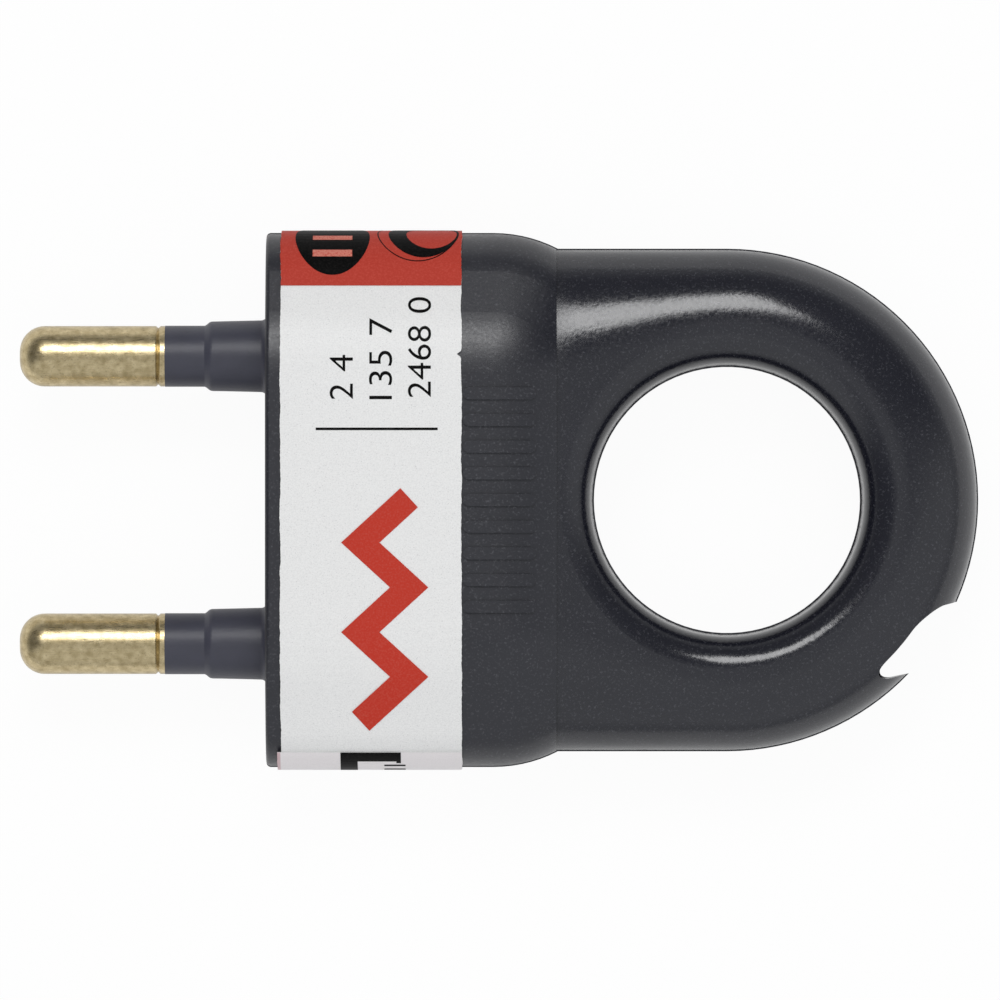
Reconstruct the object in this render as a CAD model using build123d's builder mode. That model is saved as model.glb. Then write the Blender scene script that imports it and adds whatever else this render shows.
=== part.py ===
from build123d import *
import math
import os

os.makedirs("parts", exist_ok=True)

# Flat two-pin mains plug with a pull ring, all sizes in millimetres.
# The origin is the middle of the engagement face, midway between the pins, on the plane
# where the two half shells meet. +X runs towards the ring, +Z out of the front shell.

# Housing body
body_half_width = 17.57  # to either side of the middle, at the seam
body_half_depth = 6.5  # from the seam to the flat of the front
body_shoulder = 9.17  # side to the edge of that flat
body_crown = 9.0  # radius beside the flat
body_slope = 26.0  # degrees that the shoulder falls
body_edge = 4.5  # radius from the shoulder down to the side
body_straight = 15.0  # engagement face to where the rear corners begin
body_length = 19.15  # engagement face to the step at the arms
front_edge = 0.3  # rounding round the engagement face
wall = 1.8
front_wall = 2.2
back_margin = 0.08  # the back half is this much larger all round

# Pull ring and the two arms that carry it
ring_x = 30.43  # engagement face to the middle of the ring
ring_radius = 16.53
ring_half_depth = 4.5
ring_shoulder = 5.1  # side to the crest
finger_hole = 8.87
finger_draft = 3.0  # degrees that the hole widens from the seam outwards
finger_round = 2.2
arm_half_depth = 5.2
arm_shoulder = 8.4
arm_overlap = 3.2  # the arms start this far inside the body
arm_easing = 4  # how late the arms level out towards the ring

# Cord channel through the lower arm, for a flat twin cord on edge
channel_width = 3.9
channel_height = 6.6
channel_corner = 1.2
channel_wall = 1.1  # between the channel and the finger hole
channel_turn = 13.0  # the mouth points this many degrees up
grip_width = 0.8
grip_height = 0.5
grip_pitch = 2.4
grip_count = 3
core_height = 5.6  # hollow of the upper arm and of the ring beyond it
core_start = 1.6  # solid wall between the body's step and that hollow

# Contact pins
pin_pitch = 19.0
pin_dia = 4.0
pin_reach = 16.3  # engagement face to the tip
bare_length = 9.6  # brass that shows
nose_length = 1.65
nose_flat = 0.7  # diameter left flat at the tip
groove_width = 0.3
groove_depth = 0.14
groove_rim = 0.3  # brass between the groove and the sleeve
shank_dia = 2.9
head_dia = 5.5
head_length = 9.0
head_chamfer = 0.3
wire_bore = 2.6
wire_depth = 7.4
screw_from_end = 4.2  # terminal screw to the rear end of the head
head_flat = 2.3  # axis to the milled flat under the terminal screw

# Moulded sleeves on the pins
sleeve_proud = 0.02
root_length = 3.9
root_dia = 4.75
root_taper = 0.075  # each side, over the root's length
root_step = 0.35  # rounding of the step
root_flare = 0.35
flange_dia = 7.0
flange_thickness = 1.0

# Seats inside the shells
running_gap = 0.05
moulded_gap = 0.01
rib_thickness = 1.2
rib_back = 0.3  # rear rib to the rear end of the terminal head
rib_width = 8.4

# Screws
terminal_thread = 3.0
terminal_tip = 0.1  # end of the screw above the pin's axis
terminal_head_dia = 4.4
terminal_head_height = 1.5
slot_width = 0.7
slot_depth = 0.7
housing_screw_x = 15.9
housing_thread = 3.0
housing_hole = 3.4
housing_head_dia = 5.0
housing_head_height = 2.0
housing_head_sunk = 0.5  # head below the back face
housing_length = 7.6
boss_dia = 7.4
nut_size = 5.5
nut_thickness = 2.3
nut_depth = 0.1  # nut below the seam

# Tongues that line the two shells up
tongue_start = 4.4
tongue_length = 8.0
tongue_thickness = 0.8
tongue_height = 0.9

# Raised grip bars on the front
bar_gap = 0.1  # band to the bars
bar_length = 4.8
bar_width = 0.8
bar_pitch = 1.75
bar_count = 9
bar_height = 0.2

# Printed band round the body
band_start = 1.0
band_end = 12.9
band_thickness = 0.08
band_gap = 0.02
lap_front = 0.97  # the lapped end reaches this far onto the front
lap_back = 5.57  # and this far onto the back
lap_lead = 0.25  # the lapped end sits this much nearer the pins

# Print on the band, as films
film_thickness = 0.04
field_width = 3.47  # side to the edge of the red field
disc_x = 4.4
disc_inset = 0.2  # side to the middle of the black disc, which goes round the edge
disc_dia = 4.9
zigzag_x = 7.87
zigzag_swing = 3.2  # from side to side, on its middle line
zigzag_top = 1.0  # its upper end is this far above the middle
zigzag_length = 16.4
zigzag_stroke = 1.7
zigzag_turns = 5

# Worked out from the sizes above
body_flat = body_half_width - body_shoulder
arm_flat = ring_radius - arm_shoulder
ring_flat = ring_radius - ring_shoulder
pin_y = pin_pitch / 2
sleeve_end = -(pin_reach - bare_length)
root_front_dia = root_dia - 2 * root_taper
neck_dia = root_dia + 2 * root_flare
head_start = front_wall + flange_thickness
head_end = head_start + head_length
terminal_x = head_end - screw_from_end
cord_offset = finger_hole + channel_wall + channel_width / 2
cavity_rear = body_length - wall


def shoulder(start, width, grow):
    """Crown, slope and edge of the body, from the end of the flat down to the side wall."""
    crown, edge = body_crown + grow, body_edge + grow
    sine, cosine = math.sin(math.radians(body_slope)), math.cos(math.radians(body_slope))
    run = width - start[0] - crown * sine - edge * (1 - sine)
    top = JernArc(start, (1, 0), crown, -body_slope)
    slope = Line(top @ 1, top @ 1 + (top % 1) * (run / cosine))
    side = JernArc(slope @ 1, slope % 1, edge, body_slope - 90)
    Line(side @ 1, (width, 0))


def rounded(start, width, grow):
    """Quarter ellipse of an arm or the ring, from its crest down to the seam."""
    EllipticalCenterArc((start[0], 0), width - start[0], start[1], start_angle=0, arc_size=90)


def across(plane, side, width, flat, height, grow):
    """Section of one half, across the plug, on the seam."""
    with BuildSketch(plane) as section:
        with BuildLine():
            side((flat, height), width, grow)
            mirror(about=Plane.YZ)
            Line((-flat, height), (flat, height))
            Line((-width, 0), (width, 0))
        make_face()
    return section.sketch


def outwards(plane, side, width, flat, height, grow):
    """Section of one half from an upright axis out to the side, for turned forms."""
    with BuildSketch(plane) as section:
        with BuildLine():
            side((flat, height), width, grow)
            corner = [(width, 0), (0, 0), (0, height)]
            Polyline(*corner, *([(flat, height)] if flat else []))
        make_face()
    return section.sketch


def body_half(grow):
    """Cushion form of the body above the seam, with all its walls moved out by grow."""
    height = body_half_depth + grow
    reach = body_half_width - body_flat + grow
    pivot = (body_straight, body_flat, 0)
    corner_plane = Plane(pivot, x_dir=(0, 1, 0), z_dir=(1, 0, 0))
    rear_plane = Plane(pivot, x_dir=(1, 0, 0), z_dir=(0, -1, 0))
    straight = across(Plane.YZ, shoulder, body_half_width + grow, body_flat, height, grow)
    corner = outwards(corner_plane, shoulder, reach, 0, height, grow)
    rear = outwards(rear_plane, shoulder, reach, 0, height, grow)
    with BuildPart() as form:
        extrude(straight, amount=body_straight)
        revolve(corner, axis=Axis(pivot, (0, 0, -1)), revolution_arc=90)
        mirror(about=Plane.XZ)
        extrude(rear, amount=2 * body_flat)
        split(bisect_by=Plane.YZ.offset(body_length + grow), keep=Keep.BOTTOM)
    return form.part


def ring_half(grow):
    """Arms and ring above the seam: the arms sink and narrow towards the ring."""
    length = ring_x - body_length
    arm = (arm_flat, arm_half_depth + grow)
    ring = (ring_flat, ring_half_depth + grow)
    sections = []
    for share in (-arm_overlap / length, 0, 0.25, 0.5, 0.75, 0.9, 1):
        eased = share * (1 + (1 - max(share, 0) ** arm_easing) / arm_easing)
        flat, height = [a + (r - a) * eased for a, r in zip(arm, ring)]
        plane = Plane.YZ.offset(body_length + share * length)
        sections.append(across(plane, rounded, ring_radius + grow, flat, height, grow))
    turned = outwards(Plane.YZ.offset(ring_x), rounded, ring_radius + grow, *ring, grow)
    with BuildPart() as form:
        loft(sections)
        revolve(turned, axis=Axis((ring_x, 0, 0), (0, 0, -1)), revolution_arc=180)
    return form.part


def outer_half(grow):
    """Whole outside of one half shell, with the finger hole and its rounded rim."""
    hole = finger_hole - grow
    body, ring = body_half(grow), ring_half(grow)
    with BuildPart() as form:
        add(body)
        front = form.edges().filter_by(lambda e: abs(e.center().X) < 0.01 and e.center().Z > 0.01)
        fillet(front, front_edge)
        add(ring)
        with BuildSketch(Plane.XY):
            with Locations((ring_x, 0)):
                Circle(hole)
        extrude(amount=arm_half_depth * 2, taper=-finger_draft, mode=Mode.SUBTRACT)
        widest = hole + (arm_half_depth + wall) * math.tan(math.radians(finger_draft))
        rim = form.edges().filter_by(
            lambda e: math.hypot((e @ 0.5).X - ring_x, (e @ 0.5).Y) < widest
            and e.bounding_box().min.Z > ring_half_depth / 2
        )
        fillet(rim, finger_round)
    return form.part


def channel_path(side, start, turn, run):
    """Middle line of a channel: along an arm, round the ring by turn, then straight on."""
    arm = Line((start, side * cord_offset), (ring_x, side * cord_offset))
    bend = JernArc(arm @ 1, arm % 1, cord_offset, -side * turn)
    if run:
        Line(bend @ 1, bend @ 1 + (bend % 1) * run)


def shell_half(grow):
    """One half shell above the seam, hollow, with the seats that both halves share."""
    outside, inside, mid_wall = outer_half(grow), body_half(-wall), body_half(-wall / 2)

    with BuildPart() as cord_way:
        with BuildLine():
            channel_path(-1, cavity_rear - wall, channel_turn, ring_radius)
        with BuildSketch(Plane((cavity_rear - wall, -cord_offset, 0), x_dir=(0, 1, 0), z_dir=(1, 0, 0))):
            RectangleRounded(channel_width, channel_height, channel_corner)
        sweep()

    with BuildPart() as ring_core:
        core_x = body_length + core_start
        with BuildLine():
            channel_path(1, core_x, 90, 0)
        with BuildSketch(Plane((core_x, cord_offset, 0), x_dir=(0, 1, 0), z_dir=(1, 0, 0))):
            RectangleRounded(channel_width, core_height, channel_corner)
        sweep()

    with BuildPart() as cavity:
        add(inside)
        split(bisect_by=Plane.YZ.offset(front_wall), keep=Keep.TOP)

    with BuildPart() as seats:
        rib_first = head_start + rib_thickness / 2
        rib_last = head_end - rib_back - rib_thickness / 2
        with BuildSketch(Plane.XY):
            with Locations(*[(x, y) for x in (rib_first, rib_last) for y in (-pin_y, pin_y)]):
                Rectangle(rib_thickness, rib_width)
            with Locations((housing_screw_x, 0)):
                Circle(boss_dia / 2)
        extrude(amount=body_half_depth)
        add(mid_wall, mode=Mode.INTERSECT)

    with BuildPart() as grips:
        grip_z = channel_height / 2 - grip_height / 2
        with BuildSketch(Plane.XY.offset(grip_z - grip_height / 2)):
            with Locations((body_length + grip_count * grip_pitch / 2, -cord_offset)):
                with GridLocations(grip_pitch, 0, grip_count, 1):
                    Rectangle(grip_width, channel_width)
        extrude(amount=grip_height + grip_height / 2)

    with BuildPart() as shell:
        add(outside)
        add(cavity.part, mode=Mode.SUBTRACT)
        add(seats.part)
        add(ring_core.part, mode=Mode.SUBTRACT)
        add(cord_way.part, mode=Mode.SUBTRACT)
        add(grips.part)
        with BuildSketch(Plane.YZ.offset(-1)):
            with Locations((-pin_y, 0), (pin_y, 0)):
                Circle(neck_dia / 2 + running_gap)
        extrude(amount=front_wall + 1, mode=Mode.SUBTRACT)
        with BuildSketch(Plane.YZ.offset(head_start)):
            with Locations((-pin_y, 0), (pin_y, 0)):
                Circle(head_dia / 2 + running_gap)
        extrude(amount=head_length, mode=Mode.SUBTRACT)
    return shell.part


tongue_y = body_half_width - wall + tongue_thickness / 2

front_half = shell_half(0)
back_half = mirror(shell_half(back_margin), about=Plane.XY)

bar_surface = body_half(bar_height)

# row of raised bars across the front, level with the falling surface
with BuildPart() as grip_bars:
    with BuildSketch(Plane.XY.offset(body_half_depth - wall / 2)):
        with Locations((band_end + bar_gap + bar_length / 2, 0)):
            with GridLocations(0, bar_pitch, 1, bar_count):
                SlotOverall(bar_length, bar_width)
    extrude(amount=wall)
    add(bar_surface, mode=Mode.INTERSECT)

with BuildPart() as front_shell:
    add(front_half)
    # tongues along the two side walls, standing down into the back half
    with BuildSketch(Plane.XY.offset(-tongue_height)):
        with Locations((tongue_start + tongue_length / 2, 0)):
            with GridLocations(0, 2 * tongue_y, 1, 2):
                Rectangle(tongue_length, tongue_thickness)
    extrude(amount=2 * tongue_height)
    # pocket for the captive nut, and room for the screw's end above it
    with BuildSketch(Plane.XY):
        with Locations((housing_screw_x, 0)):
            Rectangle(nut_size + 2 * running_gap, nut_size + 2 * running_gap)
    extrude(amount=nut_depth + nut_thickness, mode=Mode.SUBTRACT)
    with BuildSketch(Plane.XY):
        with Locations((housing_screw_x, 0)):
            Circle(housing_hole / 2)
    extrude(amount=body_half_depth - wall, mode=Mode.SUBTRACT)
    add(grip_bars.part)
front_shell.part.label = "front_shell"

with BuildPart() as back_shell:
    add(back_half)
    # grooves for the tongues of the front half
    with BuildSketch(Plane.XY.offset(-tongue_height - running_gap)):
        with Locations((tongue_start + tongue_length / 2, 0)):
            with GridLocations(0, 2 * tongue_y, 1, 2):
                Rectangle(tongue_length + 2 * running_gap, tongue_thickness + 2 * running_gap)
    extrude(amount=tongue_height + running_gap, mode=Mode.SUBTRACT)
    # screw hole, counterbored from the back
    with Locations(Plane((housing_screw_x, 0, -body_half_depth - back_margin), z_dir=(0, 0, -1))):
        CounterBoreHole(
            housing_hole / 2,
            housing_head_dia / 2 + 4 * running_gap,
            housing_head_sunk + housing_head_height,
        )
back_shell.part.label = "back_shell"


def contact_pin(name, side):
    """Turned brass pin: round nose, groove, shank in the sleeve, drilled terminal head."""
    radius = pin_dia / 2
    groove_end = sleeve_end - groove_rim
    with BuildPart() as pin:
        with BuildSketch(Plane.XY):
            with BuildLine():
                nose = EllipticalCenterArc(
                    (-pin_reach + nose_length, nose_flat / 2), nose_length, radius - nose_flat / 2,
                    start_angle=90, arc_size=90,
                )
                Polyline(
                    nose @ 0,
                    (groove_end - groove_width, radius),
                    (groove_end - groove_width / 2, radius - groove_depth),
                    (groove_end, radius),
                    (sleeve_end, radius),
                    (sleeve_end, shank_dia / 2),
                    (head_start, shank_dia / 2),
                    (head_start, head_dia / 2),
                    (head_end - head_chamfer, head_dia / 2),
                    (head_end, head_dia / 2 - head_chamfer),
                    (head_end, 0),
                    (-pin_reach, 0),
                    nose @ 1,
                )
            make_face()
        revolve(axis=Axis.X)
        # wire bore in the rear end, milled flat and tapped hole for the screw
        with BuildSketch(Plane.YZ.offset(head_end)):
            Circle(wire_bore / 2)
        extrude(amount=-wire_depth, mode=Mode.SUBTRACT)
        with BuildSketch(Plane.XY.offset(head_flat)):
            with Locations((terminal_x, 0)):
                Rectangle(terminal_head_dia + 4 * running_gap, head_dia)
        extrude(amount=head_dia, mode=Mode.SUBTRACT)
        with BuildSketch(Plane.XY):
            with Locations((terminal_x, 0)):
                Circle(terminal_thread / 2 + moulded_gap)
        extrude(amount=head_dia, mode=Mode.SUBTRACT)
    pin.part = pin.part.moved(Location((0, side * pin_y, 0)))
    pin.part.label = name
    export_step(pin.part, f"parts/{name}.step")
    return pin.part


def pin_sleeve(name, side):
    """Insulating sleeve: thin tube, thicker root, neck through the wall, inner flange."""
    tube = pin_dia / 2 + sleeve_proud
    root = root_front_dia / 2
    with BuildPart() as sleeve:
        with BuildSketch(Plane.XY):
            with BuildLine():
                tube_line = Line((sleeve_end, tube), (-root_length - root_step / 2, tube))
                step = Spline(
                    tube_line @ 1, (-root_length + root_step, root), tangents=[(1, 0.4), (1, 0)]
                )
                taper = Line(step @ 1, (-root_flare, root_dia / 2))
                flare = JernArc(taper @ 1, (1, 0), root_flare, 90)
                Polyline(
                    flare @ 1,
                    (front_wall, neck_dia / 2),
                    (front_wall, flange_dia / 2),
                    (head_start, flange_dia / 2),
                    (head_start, shank_dia / 2 + moulded_gap),
                    (sleeve_end, shank_dia / 2 + moulded_gap),
                    (sleeve_end, tube),
                )
            make_face()
        revolve(axis=Axis.X)
    sleeve.part = sleeve.part.moved(Location((0, side * pin_y, 0)))
    sleeve.part.label = name
    export_step(sleeve.part, f"parts/{name}.step")
    return sleeve.part


def slotted_screw(name, place, thread, length, head_dia, head_height, rounding):
    """Cheese-head screw, head up, with the underside of its head at the origin of place."""
    with BuildPart() as screw:
        with BuildSketch(Plane.XY):
            Circle(head_dia / 2)
        extrude(amount=head_height)
        fillet(screw.faces().sort_by(Axis.Z)[-1].edges(), rounding)
        with BuildSketch(Plane.XY):
            Circle(thread / 2)
        extrude(amount=-length)
        chamfer(screw.faces().sort_by(Axis.Z)[0].edges(), thread / 10)
        with BuildSketch(Plane.XY.offset(head_height)):
            Rectangle(2 * head_dia, slot_width)
        extrude(amount=-slot_depth, mode=Mode.SUBTRACT)
    screw.part = place.location * screw.part
    screw.part.label = name
    export_step(screw.part, f"parts/{name}.step")
    return screw.part


for name, side in (("upper", 1), ("lower", -1)):
    contact_pin(f"contact_pin_{name}", side)
    pin_sleeve(f"pin_sleeve_{name}", side)
    slotted_screw(
        f"terminal_screw_{name}", Plane((terminal_x, side * pin_y, head_flat)),
        terminal_thread, head_flat - terminal_tip, terminal_head_dia, terminal_head_height, 0.25,
    )

screw_seat = -body_half_depth - back_margin + housing_head_sunk + housing_head_height
slotted_screw(
    "housing_screw", Plane((housing_screw_x, 0, screw_seat), x_dir=(1, 0, 0), z_dir=(0, 0, -1)),
    housing_thread, housing_length, housing_head_dia, housing_head_height, 0.4,
)

with BuildPart() as housing_nut:
    with BuildSketch(Plane.XY.offset(nut_depth)):
        with Locations((housing_screw_x, 0)):
            Rectangle(nut_size, nut_size)
            Circle(housing_thread / 2 + moulded_gap, mode=Mode.SUBTRACT)
    extrude(amount=nut_thickness)
    chamfer(housing_nut.faces().sort_by(Axis.Z)[-1].outer_wire().edges(), 0.3)
housing_nut.part.label = "housing_nut"


def wrapped(grow, start, end):
    """Solid of the body's section, both halves, from start to end along the plug."""
    plane = Plane.YZ.offset(start)
    section = across(plane, shoulder, body_half_width + grow, body_flat, body_half_depth + grow, grow)
    with BuildPart() as form:
        extrude(section, amount=end - start)
        mirror(about=Plane.XY)
    return form.part


band_inner = back_margin + band_gap
band_outer = band_inner + band_thickness
lap_start = band_start - lap_lead

lap_outside = wrapped(band_outer + band_thickness, lap_start, band_end)
lap_inside = wrapped(band_outer, lap_start, band_end)
band_outside = wrapped(band_outer, band_start, band_end)
band_inside = wrapped(band_inner, lap_start, band_end)
film_step = band_gap / 2 + film_thickness
films = []
for layer in range(2):
    below = band_outer + layer * film_step + band_gap / 2
    film_outside = wrapped(below + film_thickness, band_start, band_end)
    films.append([film_outside, wrapped(below, band_start, band_end)])

with BuildPart() as label_lap:
    add(lap_outside)
    add(lap_inside, mode=Mode.SUBTRACT)
    # the lapped end lies on the lower side, a little onto the front and more onto the back
    with BuildSketch(Plane.YZ.offset(lap_start)):
        with BuildLine():
            reach, depth = -body_half_width - 1, body_half_depth + 1
            front, back = lap_front - body_half_width, lap_back - body_half_width
            Polyline(
                (front, 0), (front, depth), (reach, depth), (reach, -depth), (back, -depth), (back, 0),
                close=True,
            )
        make_face()
    extrude(amount=band_end - lap_start, mode=Mode.INTERSECT)

with BuildPart() as label_band:
    add(band_outside)
    add(label_lap.part)
    add(band_inside, mode=Mode.SUBTRACT)
label_band.part.label = "label_band"

with BuildPart() as label_red_field:
    add(films[0][0])
    add(films[0][1], mode=Mode.SUBTRACT)
    with BuildSketch(Plane.YZ.offset(band_start)):
        with Locations((body_half_width, 0)):
            Rectangle(2 * field_width, 2 * body_half_depth)
    extrude(amount=band_end - band_start, mode=Mode.INTERSECT)
label_red_field.part.label = "label_red_field"

with BuildPart() as label_black_disc:
    add(films[1][0])
    add(films[1][1], mode=Mode.SUBTRACT)
    with BuildSketch(Plane.XY):
        with Locations((disc_x, body_half_width - disc_inset)):
            Circle(disc_dia / 2)
    extrude(amount=body_half_depth + 1, mode=Mode.INTERSECT)
label_black_disc.part.label = "label_black_disc"

with BuildPart() as label_red_zigzag:
    add(films[0][0])
    add(films[0][1], mode=Mode.SUBTRACT)
    with BuildSketch(Plane.XY):
        with BuildLine():
            step = (zigzag_length - zigzag_stroke) / zigzag_turns
            corners = []
            for turn in range(zigzag_turns + 1):
                swing = zigzag_swing / 2 * (-1) ** turn
                corners.append((zigzag_x + swing, zigzag_top - zigzag_stroke / 2 - step * turn))
            Polyline(*corners)
        trace(line_width=zigzag_stroke)
    extrude(amount=body_half_depth + 1, mode=Mode.INTERSECT)
label_red_zigzag.part.label = "label_red_zigzag"

printed = (label_red_field, label_black_disc, label_red_zigzag)
for piece in (front_shell, back_shell, housing_nut, label_band, *printed):
    export_step(piece.part, f"parts/{piece.part.label}.step")
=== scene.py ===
import math

import bmesh
import bpy
from mathutils import Matrix, Vector, noise
from mathutils.bvhtree import BVHTree


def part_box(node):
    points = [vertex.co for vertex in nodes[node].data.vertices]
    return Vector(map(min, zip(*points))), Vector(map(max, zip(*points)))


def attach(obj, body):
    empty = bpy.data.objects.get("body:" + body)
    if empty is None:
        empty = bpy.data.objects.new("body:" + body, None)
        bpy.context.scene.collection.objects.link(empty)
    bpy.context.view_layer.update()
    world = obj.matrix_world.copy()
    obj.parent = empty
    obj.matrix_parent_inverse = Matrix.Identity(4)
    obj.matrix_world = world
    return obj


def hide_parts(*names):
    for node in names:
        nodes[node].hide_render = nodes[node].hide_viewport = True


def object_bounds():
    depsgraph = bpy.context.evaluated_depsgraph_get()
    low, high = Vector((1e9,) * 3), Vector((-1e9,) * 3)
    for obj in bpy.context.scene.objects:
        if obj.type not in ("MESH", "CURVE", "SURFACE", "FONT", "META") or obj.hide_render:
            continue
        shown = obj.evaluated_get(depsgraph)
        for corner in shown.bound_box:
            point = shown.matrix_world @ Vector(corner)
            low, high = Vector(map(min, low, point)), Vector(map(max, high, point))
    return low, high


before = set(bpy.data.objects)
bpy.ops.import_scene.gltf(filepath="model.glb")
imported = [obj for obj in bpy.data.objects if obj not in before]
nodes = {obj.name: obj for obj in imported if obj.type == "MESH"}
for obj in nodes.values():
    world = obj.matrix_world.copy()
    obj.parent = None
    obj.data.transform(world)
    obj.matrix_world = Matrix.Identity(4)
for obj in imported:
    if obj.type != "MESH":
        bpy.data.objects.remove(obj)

# Two-pin plug with a pull ring, seen from straight above. Lengths are in metres.
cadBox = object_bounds()
mm = 0.001
print("frame loaded:", len(nodes), "CAD nodes")


# Camera, straight above the plug

camera = {
    "viewWidth": 66.1 * mm,  # what the picture shows from side to side
    "distance": 0.85,
    "middleX": 15.43 * mm,
    "sensor": 36,  # in millimetres, as Blender has it
    "clip": (0.05, 20),
}


def addCamera():
    data = bpy.data.cameras.new("camera")
    data.sensor_width = camera["sensor"]
    data.lens = camera["sensor"] * camera["distance"] / camera["viewWidth"]
    data.clip_start, data.clip_end = camera["clip"]
    eye = bpy.data.objects.new("camera", data)
    eye.location = (camera["middleX"], 0, camera["distance"])
    bpy.context.scene.collection.objects.link(eye)
    bpy.context.scene.camera = eye


addCamera()
bpy.context.scene.view_settings.view_transform = "Standard"
print("camera placed")


# Small helpers for node trees

noiseSpan = (0.3, 0.7)  # nearly all values of plain noise lie between these


def addNode(tree, kind, **settings):
    node = tree.nodes.new("ShaderNode" + kind)
    for name, value in settings.items():
        setattr(node, name, value)
    return node


def feed(tree, socket, value):
    if isinstance(value, (int, float)):
        socket.default_value = value
    elif isinstance(value, tuple):
        socket.default_value = (*value, 1)
    else:
        tree.links.new(value, socket)


def doMath(tree, operation, first, second):
    node = addNode(tree, "Math", operation=operation)
    feed(tree, node.inputs[0], first)
    feed(tree, node.inputs[1], second)
    return node.outputs[0]


def mapRange(tree, value, span, low, high, smooth=False):
    kind = "SMOOTHSTEP" if smooth else "LINEAR"
    node = addNode(tree, "MapRange", interpolation_type=kind)
    names = ("Value", "From Min", "From Max", "To Min", "To Max")
    for name, number in zip(names, (value, *span, low, high)):
        feed(tree, node.inputs[name], number)
    return node.outputs["Result"]


def mix(tree, kind, factor, first, second):
    node = addNode(tree, "Mix", data_type=kind)
    for name, value in zip(("Factor", "A", "B"), (factor, first, second)):
        feed(tree, node.inputs[name], value)
    return node.outputs["Result"]


def mixColors(tree, factor, first, second):
    return mix(tree, "RGBA", factor, first, second)


def mixValues(tree, factor, first, second):
    return mix(tree, "FLOAT", factor, first, second)


def objectPlace(tree, stretch=(1, 1, 1)):
    place = addNode(tree, "TexCoord")
    mapping = addNode(tree, "Mapping")
    mapping.inputs["Scale"].default_value = stretch
    tree.links.new(place.outputs["Object"], mapping.inputs["Vector"])
    return mapping.outputs["Vector"]


def objectAxes(tree):
    split = addNode(tree, "SeparateXYZ")
    tree.links.new(objectPlace(tree), split.inputs["Vector"])
    return split.outputs


def addNoise(tree, size, detail=2.0, stretch=(1, 1, 1)):
    grain = addNode(tree, "TexNoise")
    grain.inputs["Scale"].default_value = 1 / size
    grain.inputs["Detail"].default_value = detail
    tree.links.new(objectPlace(tree, stretch), grain.inputs["Vector"])
    return grain.outputs[0]


def addBump(tree, shader, height, depth):
    bump = addNode(tree, "Bump")
    bump.inputs["Strength"].default_value = 1
    bump.inputs["Distance"].default_value = depth
    tree.links.new(height, bump.inputs["Height"])
    tree.links.new(bump.outputs["Normal"], shader.inputs["Normal"])


def newMaterial(name, **values):
    material = bpy.data.materials.new(name)
    material.use_nodes = True
    shader = material.node_tree.nodes["Principled BSDF"]
    for socket, value in values.items():
        shader.inputs[socket.replace("_", " ")].default_value = value
    return material, material.node_tree, shader


def whiteShare(tree, seen, mirrored):
    path = addNode(tree, "LightPath")
    glossy, through = path.outputs["Is Glossy Ray"], path.outputs["Is Transmission Ray"]
    reflected = doMath(tree, "MULTIPLY", doMath(tree, "MAXIMUM", glossy, through), mirrored)
    direct = doMath(tree, "MULTIPLY", path.outputs["Is Camera Ray"], seen)
    return doMath(tree, "MAXIMUM", direct, reflected)


# Light: a long soft box, an even fill from above and a graded surround, on a white floor

studio = {
    "keyHeight": 0.55,
    "keyAim": (-0.05, 0.61),  # where the box stands, as a share of its height
    "keySize": (0.66, 0.36),  # as a share of its height too
    "keyTurn": 28.8,
    "keyRadiance": 7.2,
    "fillHeight": 1.2,
    "fillSize": 1.4,
    "fillRadiance": 1.0,
    "tint": (0.97, 0.985, 1, 1),
    "sideWay": (0.35, -0.94),  # from the dark side, beyond the soft box, to the light one
    "sideSpan": (-0.12, 0.3),
    "darkSide": 0.08,
    "lightSide": 0.68,
    "zenithSpan": (0.97, 0.99),
    "zenith": 0.55,
    "horizonSpan": (0.35, 0.05),
    "horizon": 0.42,
    "skyMirrored": 0.1,  # how far reflections see the surround as plain white
    "floorColor": (0.86, 0.86, 0.86, 1),
    "floorWhite": 0.95,  # how far the camera sees the floor as plain white
    "floorMirrored": 0.35,
    "floorHalf": 1.5,
    "floorGap": 0.02 * mm,
}


def addFill():
    data = bpy.data.lights.new("fillSheet", "AREA")
    data.size = studio["fillSize"]
    data.energy = studio["fillRadiance"] * math.pi * data.size**2
    sheet = bpy.data.objects.new("fillSheet", data)
    sheet.location = (camera["middleX"], 0, studio["fillHeight"])
    sheet.visible_glossy = False
    sheet.visible_camera = False
    bpy.context.scene.collection.objects.link(sheet)


def addKeyLight():
    height = studio["keyHeight"]
    middle = Vector((camera["middleX"], 0, 0))
    spot = middle + Vector((*studio["keyAim"], 1)) * height
    data = bpy.data.lights.new("keyBox", "AREA")
    data.shape = "RECTANGLE"
    data.size, data.size_y = [side * height for side in studio["keySize"]]
    data.energy = studio["keyRadiance"] * math.pi * data.size * data.size_y
    box = bpy.data.objects.new("keyBox", data)
    aim = (spot - middle).to_track_quat("Z", "Y").to_matrix().to_4x4()
    turn = Matrix.Rotation(math.radians(studio["keyTurn"]), 4, "Z")
    box.matrix_world = Matrix.Translation(spot) @ aim @ turn
    bpy.context.scene.collection.objects.link(box)


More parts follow.
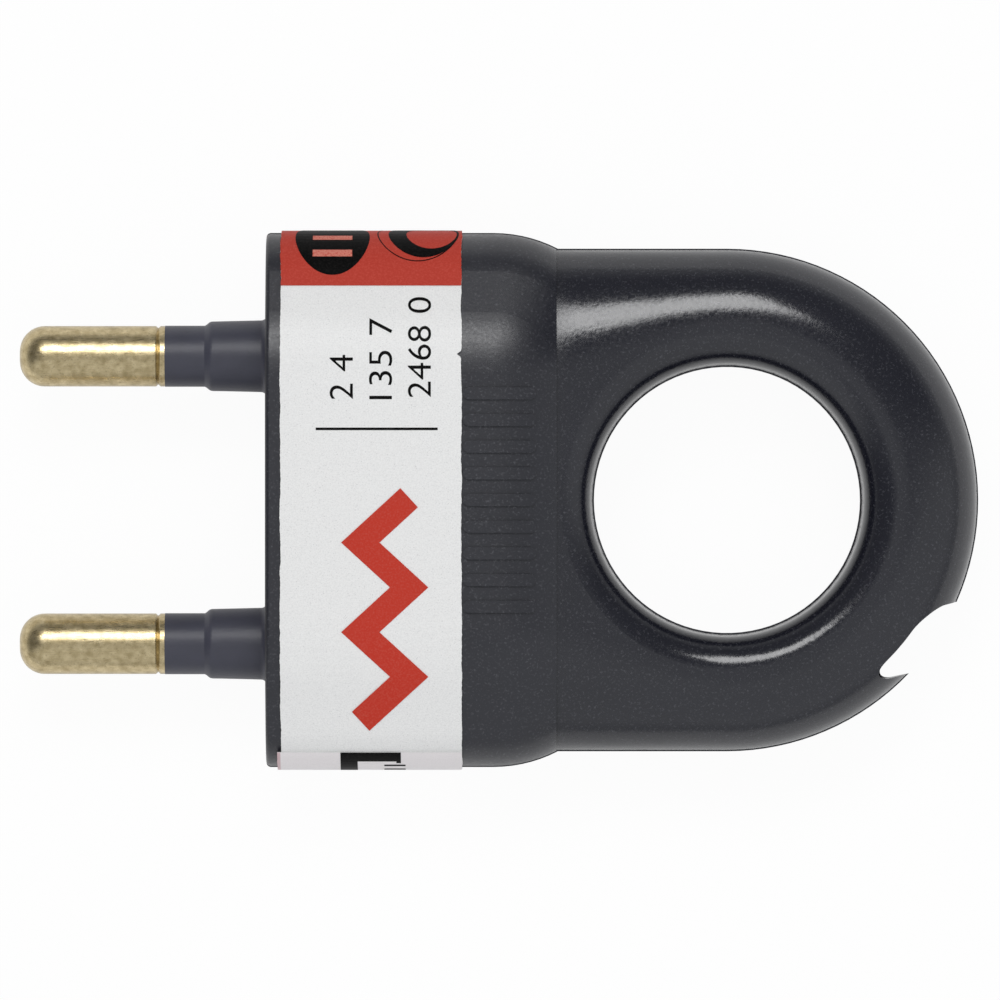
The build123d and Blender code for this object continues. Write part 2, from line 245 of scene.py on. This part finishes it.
def addSurround():
    world = bpy.data.worlds.new("surround")
    bpy.context.scene.world = world
    world.use_nodes = True
    tree = world.node_tree
    background = tree.nodes["Background"]
    background.inputs["Color"].default_value = studio["tint"]
    direction = addNode(tree, "TexCoord")
    split = addNode(tree, "SeparateXYZ")
    tree.links.new(direction.outputs["Generated"], split.inputs["Vector"])
    x, y, z = split.outputs
    shareX, shareY = studio["sideWay"]
    side = doMath(tree, "ADD", doMath(tree, "MULTIPLY", x, shareX),
                  doMath(tree, "MULTIPLY", y, shareY))
    level = mapRange(tree, side, studio["sideSpan"], studio["darkSide"], studio["lightSide"],
                     smooth=True)
    top = mapRange(tree, z, studio["zenithSpan"], 0, 1, smooth=True)
    level = mixValues(tree, top, level, studio["zenith"])
    low = mapRange(tree, z, studio["horizonSpan"], 0, 1, smooth=True)
    level = mixValues(tree, low, level, studio["horizon"])
    level = mixValues(tree, whiteShare(tree, 1.0, studio["skyMirrored"]), level, 1.0)
    tree.links.new(level, background.inputs["Strength"])


def mixShaders(tree, factor, first, second):
    blend = addNode(tree, "MixShader")
    for socket, output in zip(blend.inputs, (factor, first, second)):
        tree.links.new(output, socket)
    return blend.outputs[0]


def floorPaint():
    material = bpy.data.materials.new("floorPaint")
    material.use_nodes = True
    tree = material.node_tree
    tree.nodes.remove(tree.nodes["Principled BSDF"])
    paint = addNode(tree, "BsdfDiffuse")
    paint.inputs["Color"].default_value = studio["floorColor"]
    white = addNode(tree, "Emission")
    share = whiteShare(tree, studio["floorWhite"], studio["floorMirrored"])
    front = mixShaders(tree, share, paint.outputs[0], white.outputs[0])
    # the floor can be looked through from below
    clear = addNode(tree, "BsdfTransparent")
    behind = addNode(tree, "NewGeometry").outputs["Backfacing"]
    surface = mixShaders(tree, behind, front, clear.outputs[0])
    tree.links.new(surface, tree.nodes["Material Output"].inputs["Surface"])
    return material


def addFloor():
    mesh = bpy.data.meshes.new("floor")
    sheet = bmesh.new()
    bmesh.ops.create_grid(sheet, x_segments=1, y_segments=1, size=studio["floorHalf"])
    level = cadBox[0].z - studio["floorGap"]
    bmesh.ops.translate(sheet, verts=sheet.verts, vec=(0, 0, level))
    sheet.to_mesh(mesh)
    sheet.free()
    mesh.materials.append(floorPaint())
    floor = bpy.data.objects.new("floor", mesh)
    bpy.context.scene.collection.objects.link(floor)


addKeyLight()
addFill()
addSurround()
addFloor()
print("light and floor made")


# Finishes. A span says between which values of the noise a mark fades in.

housing = {
    "dark": (0.007, 0.0074, 0.0125),
    "light": (0.012, 0.0126, 0.0195),
    "patch": 6 * mm,
    "fleck": 0.15 * mm,
    "fleckColor": (0.055, 0.056, 0.067),
    "fleckSpan": (0.56, 0.78),
    "grain": 0.22 * mm,
    "grainDepth": 0.006 * mm,
    "refraction": 1.6,
    "roughBody": 0.37,
    "roughRing": 0.17,
    "roughSwing": 0.05,
    "ringSpan": (17 * mm, 21 * mm),  # the ring is glossier than the body
}


def housingPlastic():
    material, tree, shader = newMaterial("housingPlastic", IOR=housing["refraction"])
    color = mixColors(tree, addNoise(tree, housing["patch"]), housing["dark"], housing["light"])
    flecks = addNoise(tree, housing["fleck"], detail=3.0)
    flecks = mapRange(tree, flecks, housing["fleckSpan"], 0, 1)
    color = mixColors(tree, flecks, color, housing["fleckColor"])
    tree.links.new(color, shader.inputs["Base Color"])
    along = objectAxes(tree)["X"]
    share = mapRange(tree, along, housing["ringSpan"], 0, 1, smooth=True)
    rough = mixValues(tree, share, housing["roughBody"], housing["roughRing"])
    grain = addNoise(tree, housing["grain"], detail=3.0)
    swing = mapRange(tree, grain, noiseSpan, -housing["roughSwing"], housing["roughSwing"])
    tree.links.new(doMath(tree, "ADD", rough, swing), shader.inputs["Roughness"])
    addBump(tree, shader, grain, housing["grainDepth"])
    return material


sleeve = {
    "dark": (0.038, 0.039, 0.056),
    "light": (0.049, 0.050, 0.072),
    "patch": 1.2 * mm,
    "grain": 0.2 * mm,
    "grainDepth": 0.012 * mm,
    "refraction": 1.5,
    "rough": 0.42,
}


def sleevePlastic():
    material, tree, shader = newMaterial("sleevePlastic", Roughness=sleeve["rough"],
                                         IOR=sleeve["refraction"])
    color = mixColors(tree, addNoise(tree, sleeve["patch"]), sleeve["dark"], sleeve["light"])
    tree.links.new(color, shader.inputs["Base Color"])
    addBump(tree, shader, addNoise(tree, sleeve["grain"], detail=3.0), sleeve["grainDepth"])
    return material


brass = {
    "pale": (0.71, 0.59, 0.36),
    "deep": (0.44, 0.35, 0.19),
    "patch": 0.5 * mm,
    "pit": 0.12 * mm,
    "pitColor": (0.22, 0.17, 0.10),
    "pitSpan": (0.58, 0.72),
    "pitShare": 0.6,
    "mark": 0.05 * mm,  # turning marks, fine along the pin and long around it
    "markStretch": (1, 0.03, 0.03),
    "markDepth": 0.0008 * mm,
    "scratch": 0.09 * mm,  # wear, long along the pin
    "scratchStretch": (0.12, 1, 1),
    "scratchDepth": 0.0022 * mm,
    "rough": (0.22, 0.40),
}


def turnedBrass():
    material, tree, shader = newMaterial("turnedBrass", Metallic=1.0)
    cloud = mapRange(tree, addNoise(tree, brass["patch"], detail=6.0), noiseSpan, 0, 1)
    color = mixColors(tree, cloud, brass["deep"], brass["pale"])
    pits = addNoise(tree, brass["pit"], detail=5.0)
    pits = mapRange(tree, pits, brass["pitSpan"], 0, brass["pitShare"])
    color = mixColors(tree, pits, color, brass["pitColor"])
    tree.links.new(color, shader.inputs["Base Color"])
    marks = addNoise(tree, brass["mark"], stretch=brass["markStretch"])
    wear = addNoise(tree, brass["scratch"], detail=4.0, stretch=brass["scratchStretch"])
    tree.links.new(mapRange(tree, wear, noiseSpan, *brass["rough"]), shader.inputs["Roughness"])
    markHeight = doMath(tree, "MULTIPLY", marks, brass["markDepth"] / brass["scratchDepth"])
    addBump(tree, shader, doMath(tree, "ADD", markHeight, wear), brass["scratchDepth"])
    return material


steel = {
    "color": (0.56, 0.57, 0.58),
    "tint": (0.46, 0.47, 0.50),
    "patch": 1.2 * mm,
    "grain": 0.08 * mm,
    "grainDepth": 0.002 * mm,
    "rough": (0.28, 0.42),
}


def platedSteel():
    material, tree, shader = newMaterial("platedSteel", Metallic=1.0)
    patches = addNoise(tree, steel["patch"], detail=3.0)
    color = mixColors(tree, patches, steel["color"], steel["tint"])
    tree.links.new(color, shader.inputs["Base Color"])
    grain = addNoise(tree, steel["grain"], detail=3.0)
    tree.links.new(mapRange(tree, grain, noiseSpan, *steel["rough"]), shader.inputs["Roughness"])
    addBump(tree, shader, grain, steel["grainDepth"])
    return material


paper = {
    "white": (0.82, 0.82, 0.815),
    "grey": (0.60, 0.60, 0.60),
    "fibre": 0.10 * mm,
    "fibreDepth": 0.003 * mm,
    "cloudSpan": (0.35, 0.75),
    "cloudShare": 0.45,
    "fleck": 0.07 * mm,
    "fleckColor": (0.36, 0.36, 0.37),
    "fleckSpan": (0.66, 0.74),
    "fleckShare": 0.5,
    "lapTint": (0.84, 0.78, 0.80),  # the lapped end, with print showing through
    "lapSpan": (-16.6 * mm, -16.65 * mm),  # across the plug
    "lapShare": 0.6,
    "lapEnd": (0.50, 0.24, 0.27),  # its edge that stands out towards the pins
    "lapEndSpan": (1.0 * mm, 0.92 * mm),  # along the plug
    "refraction": 1.45,
    "rough": 0.40,
    "gloss": 0.30,
}


def coatedPaper():
    material, tree, shader = newMaterial("coatedPaper", IOR=paper["refraction"],
                                         Roughness=paper["rough"],
                                         Specular_IOR_Level=paper["gloss"])
    cloud = addNoise(tree, paper["fibre"], detail=5.0)
    cloud = mapRange(tree, cloud, paper["cloudSpan"], 0, paper["cloudShare"])
    color = mixColors(tree, cloud, paper["white"], paper["grey"])
    flecks = addNoise(tree, paper["fleck"], detail=1.0)
    flecks = mapRange(tree, flecks, paper["fleckSpan"], 0, paper["fleckShare"])
    color = mixColors(tree, flecks, color, paper["fleckColor"])
    axes = objectAxes(tree)
    lap = mapRange(tree, axes["Y"], paper["lapSpan"], 0, paper["lapShare"])
    color = mixColors(tree, lap, color, paper["lapTint"])
    end = mapRange(tree, axes["X"], paper["lapEndSpan"], 0, 1)
    color = mixColors(tree, doMath(tree, "MULTIPLY", end, lap), color, paper["lapEnd"])
    tree.links.new(color, shader.inputs["Base Color"])
    addBump(tree, shader, addNoise(tree, paper["fibre"], detail=4.0), paper["fibreDepth"])
    return material


ink = {
    "red": (0.45, 0.050, 0.034),
    "redWorn": (0.52, 0.075, 0.055),
    "bright": (0.50, 0.042, 0.026),
    "black": (0.003, 0.003, 0.003),
    "blackWorn": (0.012, 0.011, 0.011),
    "pale": (0.62, 0.22, 0.17),
    "wear": 0.12 * mm,
    "wearSpan": (0.45, 0.75),
    "fibreDepth": 0.002 * mm,
    "refraction": 1.45,
    "rough": 0.4,
    "gloss": 0.04,
}


def printedInk(name, full, worn):
    material, tree, shader = newMaterial(name, IOR=ink["refraction"], Roughness=ink["rough"],
                                         Specular_IOR_Level=ink["gloss"])
    share = mapRange(tree, addNoise(tree, ink["wear"], detail=4.0), ink["wearSpan"], 0, 1)
    tree.links.new(mixColors(tree, share, full, worn), shader.inputs["Base Color"])
    addBump(tree, shader, addNoise(tree, paper["fibre"], detail=4.0), ink["fibreDepth"])
    return material


finishes = {
    "plastic": housingPlastic(),
    "sleeve": sleevePlastic(),
    "brass": turnedBrass(),
    "steel": platedSteel(),
    "paper": coatedPaper(),
    "red": printedInk("redInk", ink["red"], ink["redWorn"]),
    "brightRed": printedInk("brightRedInk", ink["bright"], ink["redWorn"]),
    "black": printedInk("blackInk", ink["black"], ink["blackWorn"]),
    "pale": printedInk("paleInk", ink["pale"], ink["bright"]),
}

nodeFinish = {
    "front_shell": "plastic",
    "back_shell": "plastic",
    "pin_sleeve_upper": "sleeve",
    "pin_sleeve_lower": "sleeve",
    "contact_pin_upper": "brass",
    "contact_pin_lower": "brass",
    "terminal_screw_upper": "steel",
    "terminal_screw_lower": "steel",
    "housing_screw": "steel",
    "housing_nut": "steel",
    "label_band": "paper",
    "label_red_field": "red",
    "label_red_zigzag": "brightRed",
    "label_black_disc": "black",
}

for name, finish in nodeFinish.items():
    nodes[name].data.materials.clear()
    nodes[name].data.materials.append(finishes[finish])
print("finishes given to", len(nodeFinish), "nodes")


# Paper band with torn edges, made from the CAD band

band = {
    "joinWithin": 1e-6,
    "cutWithin": 1e-7,
    "cut": 0.12 * mm,  # spacing of the cuts that let the edges wander
    "tear": 0.07 * mm,
    "tearLength": 2.3 * mm,
    "tearReach": 0.8 * mm,
    "tearWaves": ((1, 1), (3.7, 0.5), (13, 0.45)),  # how fine, and how much of each
    "tearSeeds": (0.0, 31.7),  # near and far edge
    # place, half width and depth of a nick in the far edge
    "nick": (9.58 * mm, 0.22 * mm, 0.30 * mm),
}


def addPiece(piece, name, finish, replaced=None, slot=None):
    mesh = bpy.data.meshes.new(name)
    piece.to_mesh(mesh)
    piece.free()
    mesh.materials.append(finishes[finish])
    item = bpy.data.objects.new(name, mesh)
    bpy.context.scene.collection.objects.link(item)
    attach(item, "root")
    if replaced:
        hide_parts(replaced)
    return item


def cutAt(piece, place, normal):
    everything = piece.verts[:] + piece.edges[:] + piece.faces[:]
    bmesh.ops.bisect_plane(piece, geom=everything, dist=band["cutWithin"], plane_co=place,
                           plane_no=normal)


def cutSlices(piece, low, high, step):
    for index in range(1, int((high - low) / step) + 1):
        cutAt(piece, (0, low + index * step, 0), (0, 1, 0))


def tearEdges(piece, low, high):
    place, halfWidth, depth = band["nick"]
    for vert in piece.verts:
        for edge, seed in zip((low, high), band["tearSeeds"]):
            share = 1 - abs(vert.co.x - edge) / band["tearReach"]
            if share > 0:
                around = (vert.co.y / band["tearLength"], vert.co.z / band["tearLength"])
                spot = Vector((seed, *around))
                wander = sum(much * noise.noise(spot * fine) for fine, much in band["tearWaves"])
                vert.co.x += share * band["tear"] * wander
        aside = abs(vert.co.y - place)
        atFarEdge = abs(vert.co.x - high) < band["tear"] * 2
        if vert.co.z > 0 and aside < halfWidth and atFarEdge:
            vert.co.x -= depth * (1 - aside / halfWidth)


def tornCopy(nodeName, pieceName, finish, low, high):
    piece = bmesh.new()
    piece.from_mesh(nodes[nodeName].data)
    bmesh.ops.remove_doubles(piece, verts=piece.verts, dist=band["joinWithin"])
    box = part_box(nodeName)
    cutSlices(piece, box[0].y, box[1].y, band["cut"])
    for limit in (low + band["tearReach"], high - band["tearReach"]):
        cutAt(piece, (limit, 0, 0), (1, 0, 0))
    tearEdges(piece, low, high)
    return addPiece(piece, pieceName, finish, replaced=nodeName)


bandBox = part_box("label_red_field")
paperBand = tornCopy("label_band", "paperBand", "paper", bandBox[0].x, bandBox[1].x)
redField = tornCopy("label_red_field", "redField", "red", bandBox[0].x, bandBox[1].x)
print("paper band torn")


# Plain numbers, lines and rings on the band. Those on its front are laid on from above, those
# round its edge are placed by the distance from the seam along the surface. Places are given in
# millimetres.

prints = {
    "lift": 0.015 * mm,
    "slice": 0.12 * mm,
    "above": 20 * mm,  # the height that prints are laid on from
    "joinWithin": 1e-5,  # as a share of the letters' size
    "thinner": -0.006,  # the strokes of the numbers, as a share of their size
    "circleSteps": 96,
    # text, left and right, lower and upper end, read from below upwards
    "numbers": (
        ("2 4", 4.26, 5.78, 6.61, 9.52),
        ("135 7", 6.84, 8.36, 6.61, 11.93),
        ("2468 0", 9.39, 10.91, 6.74, 13.32),
    ),
    # left, right, lower and upper end
    "line": (3.34, 11.34, 4.58, 4.75),
    # left, right and the two distances from the seam
    "discBars": ((3.1, 5.7, 2.20, 2.80), (3.1, 5.7, 3.90, 4.50)),
    "bracket": (
        (4.92, 8.90, 2.65, 3.72),
        (4.92, 6.05, 0.40, 2.65),
        (8.60, 8.90, 2.40, 2.65),
    ),
    "dashes": ((7.80, 9.20, 1.88, 2.16), (7.80, 9.20, 0.75, 1.25)),
    # middle, distance of the middle from the seam, and half axes along and round the band
    "disc": (4.40, 2.45, 2.45, 3.47),
    "ring": ((10.40, 1.86, 2.32, 2.70), (10.92, 1.91, 1.66, 1.85)),
    "thinRing": ((10.02, 1.82, 2.68, 3.08), (10.02, 1.82, 2.60, 3.00)),
}

bandSection = {
    "halfWidth": 17.82 * mm,
    "side": 0.23 * mm,  # upright part beside the seam
    "edge": 4.75 * mm,  # radius
    "slope": 26.0,
}


def textShape(text, left, right, low, high):
    curve = bpy.data.curves.new("number", "FONT")
    curve.body = text
    curve.offset = prints["thinner"]
    holder = bpy.data.objects.new("number", curve)
    mesh = bpy.data.meshes.new_from_object(holder)
    shape = bmesh.new()
    shape.from_mesh(mesh)
    bpy.data.objects.remove(holder)
    bpy.data.meshes.remove(mesh)
    bmesh.ops.remove_doubles(shape, verts=shape.verts, dist=prints["joinWithin"])
    across = [vert.co.x for vert in shape.verts]
    up = [vert.co.y for vert in shape.verts]
    for vert in shape.verts:
        along = (vert.co.x - min(across)) / (max(across) - min(across))
        over = (vert.co.y - min(up)) / (max(up) - min(up))
        spot = (right - over * (right - left), low + along * (high - low), 0)
        vert.co = Vector(spot) * mm
    return shape


def boxShape(*boxes):
    shape = bmesh.new()
    for left, right, low, high in boxes:
        corners = [(left, low), (right, low), (right, high), (left, high)]
        shape.faces.new([shape.verts.new((x * mm, y * mm, 0)) for x, y in corners])
    return shape


def circleSpots(shape, circle):
    x, y, halfWidth, halfHeight = circle
    spots = []
    for step in range(prints["circleSteps"]):
        angle = 2 * math.pi * step / prints["circleSteps"]
        across, up = x + halfWidth * math.cos(angle), y + halfHeight * math.sin(angle)
        spots.append(shape.verts.new((across * mm, up * mm, 0)))
    return spots


def ringShape(outside, inside):
    shape = bmesh.new()
    outer = circleSpots(shape, outside)
    inner = circleSpots(shape, inside)
    for index in range(len(outer)):
        before = index - 1
        shape.faces.new((outer[before], outer[index], inner[index], inner[before]))
    return shape


def discShape(circle):
    shape = bmesh.new()
    shape.faces.new(circleSpots(shape, circle))
    return shape


def surfaceTree(*items):
    verts = []
    faces = []
    for item in items:
        start = len(verts)
        verts += [vert.co.copy() for vert in item.data.vertices]
        faces += [[start + index for index in face.vertices] for face in item.data.polygons]
    return BVHTree.FromPolygons(verts, faces)


def sliceShape(shape):
    heights = [vert.co.y for vert in shape.verts]
    cutSlices(shape, min(heights), max(heights), prints["slice"])


def turnOutwards(shape, surface):
    shape.normal_update()
    for face in shape.faces:
        outside = surface.find_nearest(face.calc_center_median())[1]
        if face.normal.dot(outside) < 0:
            face.normal_flip()


def layPrint(shape, name, surface):
    sliceShape(shape)
    for vert in shape.verts:
        start = Vector((vert.co.x, vert.co.y, prints["above"]))
        spot, normal = surface.ray_cast(start, Vector((0, 0, -1)))[:2]
        vert.co = spot + normal * prints["lift"]
    turnOutwards(shape, surface)
    return addPiece(shape, name, "black", slot="black_print")


def roundEdge(distance):
    # place across and above the seam, at a distance from it along the outside of the band
    side, edge = bandSection["side"], bandSection["edge"]
    slope = math.radians(bandSection["slope"])
    turn = math.pi / 2 - slope
    angle = min(max((distance - side) / edge, 0), turn)
    rest = max(distance - side - edge * turn, 0)
    inwards = edge * (1 - math.cos(angle)) + rest * math.cos(slope)
    above = min(distance, side) + edge * math.sin(angle) + rest * math.sin(slope)
    return bandSection["halfWidth"] - inwards, above


def wrapPrint(shape, name, surface, side=1, finish="black", **tags):
    sliceShape(shape)
    for vert in shape.verts:
        across, above = roundEdge(abs(vert.co.y))
        place = Vector((vert.co.x, side * across, math.copysign(above, vert.co.y)))
        spot, normal = surface.find_nearest(place)[:2]
        vert.co = spot + normal * prints["lift"]
    turnOutwards(shape, surface)
    return addPiece(shape, name, finish, **tags)


bandSurface = surfaceTree(paperBand, redField)
for index, number in enumerate(prints["numbers"]):
    layPrint(textShape(*number), "numbers_" + str(index + 1), bandSurface)
layPrint(boxShape(prints["line"]), "ruledLine", bandSurface)
blackDisc = wrapPrint(discShape(prints["disc"]), "blackDisc", bandSurface,
                      replaced="label_black_disc")
wrapPrint(ringShape(*prints["ring"]), "blackRing", bandSurface, slot="black_print")
wrapPrint(ringShape(*prints["thinRing"]), "thinRing", bandSurface, slot="black_print")
wrapPrint(boxShape(*prints["bracket"]), "bracket", bandSurface, side=-1, slot="black_print")
wrapPrint(boxShape(*prints["dashes"]), "dashes", bandSurface, side=-1, slot="black_print")
wrapPrint(boxShape(*prints["discBars"]), "discBars", surfaceTree(blackDisc), finish="pale",
          slot="field")
print("prints laid on the band")
